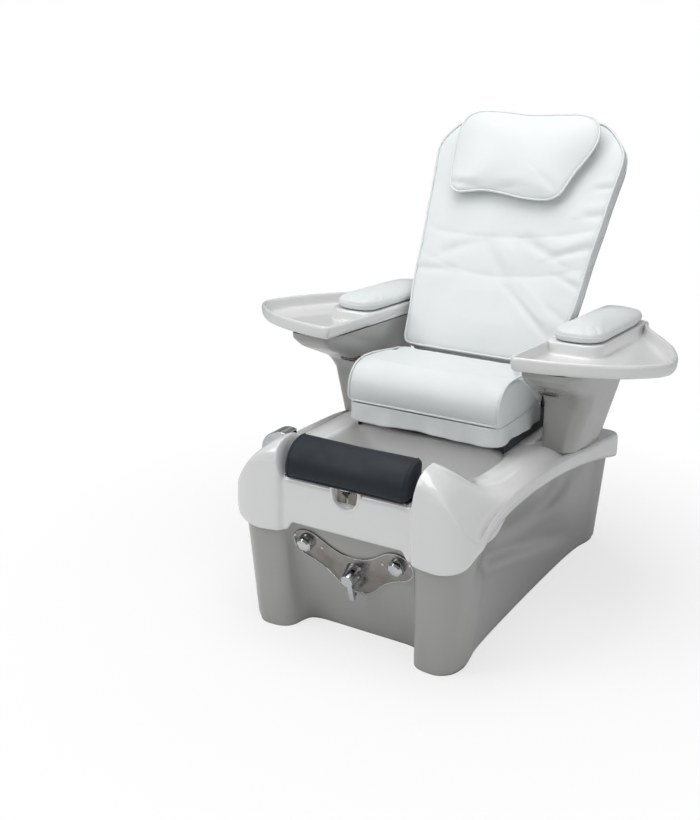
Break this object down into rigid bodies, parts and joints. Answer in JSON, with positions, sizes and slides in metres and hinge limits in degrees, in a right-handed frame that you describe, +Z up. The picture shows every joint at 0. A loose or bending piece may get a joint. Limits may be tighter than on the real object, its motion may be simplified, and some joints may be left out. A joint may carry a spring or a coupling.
{
  "type": "pedicure spa chair",
  "caption": "Pedicure spa chair: plumbed foot basin with water jets, padded footrest, sliding reclining massage seat, head pillow and lifting tray arms.",
  "frame": {"origin": "on the floor, midway between the base's sides, 560 mm behind the tub's front", "axes": "+X towards the sitter's left, the sitter faces -Y, +Z up"},
  "size_m": [1.3808, 1.3267, 1.4023],
  "materials": {
    "grey_moulding": "satin gelcoat",
    "white_moulding": "gloss acrylic",
    "frame_steel": "satin black powder coat",
    "foot_rubber": "matte",
    "chrome_fitting": "polished",
    "bright_screw": "bright zinc",
    "grey_plastic": "matte",
    "pump_casing": "matte",
    "valve_brass": "as cast",
    "black_plastic": "matte",
    "white_leather": "soft sheen synthetic leather",
    "dark_leather": "soft sheen synthetic leather",
    "plywood": "plain",
    "back_plastic": "satin"
  },
  "bodies": {
    "base": {"base_frame": "frame_steel", "base_shell": "grey_moulding", "circulation_pump": "pump_casing", "cold_supply_pipe": "grey_plastic", "cold_valve": "valve_brass", "column_bolts": "bright_screw", "control_plate": "chrome_fitting", "control_plate_screws": "bright_screw", "diverter_valve": "valve_brass", "drain_strainer": "chrome_fitting", "drain_tailpipe": "grey_plastic", "hot_supply_pipe": "grey_plastic", "hot_valve": "valve_brass", "intake_grille": "grey_plastic", "left_arm_column": "grey_moulding", "left_arm_hinge": "frame_steel", "left_jet_nozzle": "chrome_fitting", "left_jet_pipe": "grey_plastic", "left_seat_rail": "frame_steel", "levelling_feet": "foot_rubber", "power_inlet": "black_plastic", "right_arm_column": "grey_moulding", "right_arm_hinge": "frame_steel", "right_jet_nozzle": "chrome_fitting", "right_jet_pipe": "grey_plastic", "right_seat_rail": "frame_steel", "spout_pipe": "grey_plastic", "suction_pipe": "grey_plastic", "tub_shell": "white_moulding", "waterfall_spout": "chrome_fitting"},
    "seat": {"seat_carriage": "frame_steel", "recline_pivot_pins": "bright_screw", "seat_pan": "plywood", "seat_cushion": "white_leather", "seat_skirt": "white_leather", "recline_actuator": "pump_casing"},
    "back": {"back_frame": "frame_steel", "back_shell": "back_plastic", "back_cushion": "white_leather", "pillow_strap": "white_leather", "cover_pull_tab": "black_plastic"},
    "recline_rod": {"recline_rod": "bright_screw"},
    "massage_carriage": {"massage_carriage": "frame_steel", "massage_motor": "pump_casing"},
    "massage_axle": {"massage_axle": "bright_screw"},
    "left_roller": {"left_kneading_roller": "black_plastic"},
    "right_roller": {"right_kneading_roller": "black_plastic"},
    "head_pillow": {"head_pillow": "white_leather"},
    "left_arm": {"left_arm_tray": "white_moulding", "left_arm_pad": "white_leather"},
    "right_arm": {"right_arm_tray": "white_moulding", "right_arm_pad": "white_leather"},
    "left_latch": {"left_latch_lever": "chrome_fitting"},
    "right_latch": {"right_latch_lever": "chrome_fitting"},
    "hot_knob": {"hot_knob": "chrome_fitting"},
    "cold_knob": {"cold_knob": "chrome_fitting"},
    "diverter": {"diverter_lever": "chrome_fitting"},
    "footrest": {"footrest_bracket": "frame_steel", "footrest_cushion": "dark_leather"},
    "clamp_knob": {"footrest_clamp_knob": "chrome_fitting"}
  },
  "joints": [
    {"name": "seat_travel", "type": "slide", "parent": "base", "child": "seat", "axis": [0, 1, 0], "range_m": [-0.06, 0.08]},
    {"name": "back_recline", "type": "hinge", "parent": "seat", "child": "back", "pos_m": [0, 0.262, 0.612], "axis": [-1, 0, 0], "range_deg": [-5, 30]},
    {"name": "recline_rod_travel", "type": "slide", "parent": "seat", "child": "recline_rod", "axis": [0, -1, 0], "range_m": [-0.0085, 0.05]},
    {"name": "massage_travel", "type": "slide", "parent": "back", "child": "massage_carriage", "axis": [0, 0.5, 0.866], "range_m": [-0.25, 0.25]},
    {"name": "massage_axle_turn", "type": "hinge", "parent": "massage_carriage", "child": "massage_axle", "pos_m": [0, 0.56109, 0.99959], "axis": [1, 0, 0], "continuous": true},
    {"name": "left_roller_turn", "type": "hinge", "parent": "massage_carriage", "child": "left_roller", "pos_m": [0.055, 0.51409, 0.97477], "axis": [1, 0, 0], "continuous": true},
    {"name": "right_roller_turn", "type": "hinge", "parent": "massage_carriage", "child": "right_roller", "pos_m": [-0.055, 0.51409, 0.97477], "axis": [1, 0, 0], "continuous": true},
    {"name": "pillow_flip", "type": "hinge", "parent": "back", "child": "head_pillow", "pos_m": [0, 0.65288, 1.39116], "axis": [-1, 0, 0], "range_deg": [0, 150]},
    {"name": "left_arm_lift", "type": "hinge", "parent": "base", "child": "left_arm", "pos_m": [0.385, 0.425, 0.724], "axis": [-1, 0, 0], "range_deg": [0, 60]},
    {"name": "right_arm_lift", "type": "hinge", "parent": "base", "child": "right_arm", "pos_m": [-0.385, 0.425, 0.724], "axis": [-1, 0, 0], "range_deg": [0, 60]},
    {"name": "left_latch_pull", "type": "hinge", "parent": "base", "child": "left_latch", "pos_m": [0.334, 0.0353, 0.659], "axis": [-1, 0, 0], "range_deg": [0, 25], "stiffness_Nm_per_rad": 0.1, "springref_deg": -5.73},
    {"name": "right_latch_pull", "type": "hinge", "parent": "base", "child": "right_latch", "pos_m": [-0.334, 0.0353, 0.659], "axis": [-1, 0, 0], "range_deg": [0, 25], "stiffness_Nm_per_rad": 0.1, "springref_deg": -5.73},
    {"name": "hot_knob_turn", "type": "hinge", "parent": "base", "child": "hot_knob", "pos_m": [-0.148, -0.50475, 0.287], "axis": [0, -0.9677, -0.2521], "range_deg": [0, 90]},
    {"name": "cold_knob_turn", "type": "hinge", "parent": "base", "child": "cold_knob", "pos_m": [0.148, -0.50475, 0.287], "axis": [0, -0.9677, -0.2521], "range_deg": [0, 90]},
    {"name": "diverter_turn", "type": "hinge", "parent": "base", "child": "diverter", "pos_m": [0, -0.48782, 0.222], "axis": [0, -0.9677, -0.2521], "range_deg": [-45, 45]},
    {"name": "footrest_height", "type": "slide", "parent": "base", "child": "footrest", "axis": [0, 0, 1], "range_m": [0, 0.03]},
    {"name": "clamp_knob_turn", "type": "hinge", "parent": "base", "child": "clamp_knob", "pos_m": [0, -0.536, 0.48], "axis": [0, -1, 0], "range_deg": [0, 180]}
  ],
  "couplings": [
    {"joint": "recline_rod_travel", "follows": "back_recline", "m_per_rad": 0.0943},
    {"joint": "massage_axle_turn", "follows": "massage_travel", "rad_per_m": 83.333}
  ]
}
